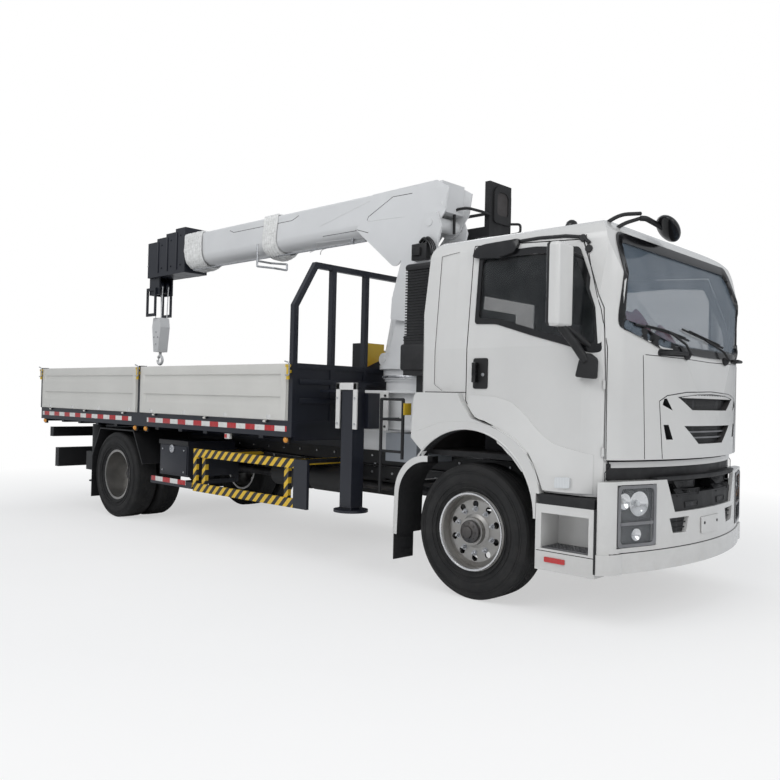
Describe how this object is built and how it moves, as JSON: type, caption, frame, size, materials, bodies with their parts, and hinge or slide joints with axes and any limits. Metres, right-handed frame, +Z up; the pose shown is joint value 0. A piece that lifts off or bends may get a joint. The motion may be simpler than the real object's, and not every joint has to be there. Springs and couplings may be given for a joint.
{
  "type": "telescopic boom crane truck",
  "caption": "Two-axle flatbed truck with a high forward cab, drop sides, side outriggers and a slewing telescopic crane behind the cab.",
  "frame": {"origin": "on the ground under the middle of the overall box", "axes": "+X forward, +Y to the truck's left, +Z up"},
  "size_m": [8.7998, 2.93, 3.732],
  "materials": {
    "white_paint": "gloss",
    "crane_paint": "satin",
    "navy_paint": "satin",
    "frame_paint": "satin",
    "cream_panel": "satin",
    "hazard_paint": "satin",
    "tyre_rubber": "matte",
    "rim_metal": "satin",
    "clear_glass": "gloss",
    "lamp_lens": "gloss",
    "black_plastic": "matte",
    "cab_trim": "matte",
    "tank_metal": "satin",
    "cast_metal": "matte",
    "rod_chrome": "gloss"
  },
  "bodies": {
    "truck": {"chassis_frame": "frame_paint", "axles": "cast_metal", "leaf_springs": "cast_metal", "engine": "cast_metal", "cab_shell": "white_paint", "windscreen": "clear_glass", "bumper": "white_paint", "headlamps": "lamp_lens", "front_grilles": "black_plastic", "front_fenders": "white_paint", "cab_steps": "white_paint", "cab_interior": "cab_trim", "air_intake": "white_paint", "bed_deck": "navy_paint", "headboard": "navy_paint", "crane_base": "crane_paint", "slew_ring": "cast_metal", "side_guards": "hazard_paint", "rear_mudguards": "black_plastic", "toolbox": "navy_paint", "tanks": "tank_metal", "ladder": "frame_paint", "valve_bank": "hazard_paint"},
    "knuckle_right_body": {"knuckle_right": "cast_metal"},
    "knuckle_left_body": {"knuckle_left": "cast_metal"},
    "front_wheel_right": {"front_tyre_right": "tyre_rubber", "front_rim_right": "rim_metal"},
    "front_wheel_left": {"front_tyre_left": "tyre_rubber", "front_rim_left": "rim_metal"},
    "rear_wheels_right": {"rear_tyres_right": "tyre_rubber", "rear_rims_right": "rim_metal"},
    "rear_wheels_left": {"rear_tyres_left": "tyre_rubber", "rear_rims_left": "rim_metal"},
    "door_right_body": {"door_right": "white_paint", "door_glass_right": "clear_glass", "mirror_right": "white_paint"},
    "door_left_body": {"door_left": "white_paint", "door_glass_left": "clear_glass", "mirror_left": "white_paint"},
    "gate_rear_right": {"side_rear_right": "cream_panel"},
    "gate_rear_left": {"side_rear_left": "cream_panel"},
    "gate_front_right": {"side_front_right": "cream_panel"},
    "gate_front_left": {"side_front_left": "cream_panel"},
    "gate_tail": {"tailgate": "cream_panel"},
    "crane": {"crane_column": "crane_paint", "operator_seat": "black_plastic"},
    "boom": {"boom_base": "crane_paint"},
    "section_1": {"boom_section_1": "navy_paint"},
    "section_2": {"boom_section_2": "navy_paint"},
    "section_3": {"boom_section_3": "navy_paint"},
    "section_4": {"boom_section_4": "navy_paint"},
    "barrel": {"lift_barrel": "crane_paint"},
    "ram": {"lift_rod": "rod_chrome"},
    "hook": {"hook_block": "crane_paint"},
    "beam_right": {"outrigger_beam_right": "navy_paint"},
    "beam_left": {"outrigger_beam_left": "navy_paint"},
    "foot_right": {"outrigger_foot_right": "navy_paint"},
    "foot_left": {"outrigger_foot_left": "navy_paint"},
    "rear_foot_right": {"rear_jack_foot_right": "navy_paint"},
    "rear_foot_left": {"rear_jack_foot_left": "navy_paint"}
  },
  "joints": [
    {"name": "steer_right", "type": "hinge", "parent": "truck", "child": "knuckle_right_body", "pos_m": [3.04, -0.845, 0.512], "axis": [0, 0, 1], "range_deg": [-35, 35]},
    {"name": "front_wheel_right_spin", "type": "hinge", "parent": "knuckle_right_body", "child": "front_wheel_right", "pos_m": [3.04, -1.03, 0.512], "axis": [0, 1, 0], "continuous": true},
    {"name": "rear_wheels_right_spin", "type": "hinge", "parent": "truck", "child": "rear_wheels_right", "pos_m": [-2.3, -0.92, 0.512], "axis": [0, 1, 0], "continuous": true},
    {"name": "door_right_hinge", "type": "hinge", "parent": "truck", "child": "door_right_body", "pos_m": [4.109, -1.13, 1.8], "axis": [0, 0, 1], "range_deg": [0, 70]},
    {"name": "gate_rear_right_hinge", "type": "hinge", "parent": "truck", "child": "gate_rear_right", "pos_m": [-3, -1.258, 1.262], "axis": [1, 0, 0], "range_deg": [0, 180]},
    {"name": "gate_front_right_hinge", "type": "hinge", "parent": "truck", "child": "gate_front_right", "pos_m": [-0.4, -1.258, 1.262], "axis": [1, 0, 0], "range_deg": [0, 180]},
    {"name": "outrigger_right_out", "type": "slide", "parent": "truck", "child": "beam_right", "axis": [0, -1, 0], "range_m": [0, 0.8]},
    {"name": "outrigger_right_foot_down", "type": "slide", "parent": "beam_right", "child": "foot_right", "axis": [0, 0, -1], "range_m": [0, 0.48]},
    {"name": "rear_jack_right_down", "type": "slide", "parent": "truck", "child": "rear_foot_right", "axis": [0, 0, -1], "range_m": [0, 0.31]},
    {"name": "steer_left", "type": "hinge", "parent": "truck", "child": "knuckle_left_body", "pos_m": [3.04, 0.845, 0.512], "axis": [0, 0, 1], "range_deg": [-35, 35]},
    {"name": "front_wheel_left_spin", "type": "hinge", "parent": "knuckle_left_body", "child": "front_wheel_left", "pos_m": [3.04, 1.03, 0.512], "axis": [0, 1, 0], "continuous": true},
    {"name": "rear_wheels_left_spin", "type": "hinge", "parent": "truck", "child": "rear_wheels_left", "pos_m": [-2.3, 0.92, 0.512], "axis": [0, 1, 0], "continuous": true},
    {"name": "door_left_hinge", "type": "hinge", "parent": "truck", "child": "door_left_body", "pos_m": [4.109, 1.13, 1.8], "axis": [0, 0, -1], "range_deg": [0, 70]},
    {"name": "gate_rear_left_hinge", "type": "hinge", "parent": "truck", "child": "gate_rear_left", "pos_m": [-3, 1.258, 1.262], "axis": [-1, 0, 0], "range_deg": [0, 180]},
    {"name": "gate_front_left_hinge", "type": "hinge", "parent": "truck", "child": "gate_front_left", "pos_m": [-0.4, 1.258, 1.262], "axis": [-1, 0, 0], "range_deg": [0, 180]},
    {"name": "outrigger_left_out", "type": "slide", "parent": "truck", "child": "beam_left", "axis": [0, 1, 0], "range_m": [0, 0.8]},
    {"name": "outrigger_left_foot_down", "type": "slide", "parent": "beam_left", "child": "foot_left", "axis": [0, 0, -1], "range_m": [0, 0.48]},
    {"name": "rear_jack_left_down", "type": "slide", "parent": "truck", "child": "rear_foot_left", "axis": [0, 0, -1], "range_m": [0, 0.31]},
    {"name": "tailgate_hinge", "type": "hinge", "parent": "truck", "child": "gate_tail", "pos_m": [-4.388, 0, 1.262], "axis": [0, -1, 0], "range_deg": [0, 180]},
    {"name": "crane_slew", "type": "hinge", "parent": "truck", "child": "crane", "pos_m": [1.395, 0, 1.795], "axis": [0, 0, 1], "continuous": true},
    {"name": "boom_lift", "type": "hinge", "parent": "crane", "child": "boom", "pos_m": [1.743, 0, 3.208], "axis": [0, 1, 0], "range_deg": [0, 75]},
    {"name": "cylinder_swing", "type": "hinge", "parent": "crane", "child": "barrel", "pos_m": [1.06, 0, 1.905], "axis": [0, 1, 0], "range_deg": [-2.3, 0]},
    {"name": "cylinder_stroke", "type": "slide", "parent": "barrel", "child": "ram", "axis": [0.2119, 0, 0.9773], "range_m": [0, 0.65442]},
    {"name": "section_1_out", "type": "slide", "parent": "boom", "child": "section_1", "axis": [-1, 0, 0], "range_m": [0, 2.6]},
    {"name": "section_2_out", "type": "slide", "parent": "section_1", "child": "section_2", "axis": [-1, 0, 0], "range_m": [0, 2.6]},
    {"name": "section_3_out", "type": "slide", "parent": "section_2", "child": "section_3", "axis": [-1, 0, 0], "range_m": [0, 2.6]},
    {"name": "section_4_out", "type": "slide", "parent": "section_3", "child": "section_4", "axis": [-1, 0, 0], "range_m": [0, 2.6]},
    {"name": "hook_plumb", "type": "hinge", "parent": "section_4", "child": "hook", "pos_m": [-3.411, 0, 3.01], "axis": [0, 1, 0], "range_deg": [-75, 0]}
  ],
  "couplings": [
    {"joint": "steer_left", "follows": "steer_right", "ratio": 1},
    {"joint": "cylinder_swing", "follows": "boom_lift", "ratio": -0.030359},
    {"joint": "cylinder_stroke", "follows": "boom_lift", "m_per_rad": 0.49956},
    {"joint": "hook_plumb", "follows": "boom_lift", "ratio": -1},
    {"joint": "section_2_out", "follows": "section_1_out", "ratio": 1},
    {"joint": "section_3_out", "follows": "section_1_out", "ratio": 1},
    {"joint": "section_4_out", "follows": "section_1_out", "ratio": 1}
  ]
}
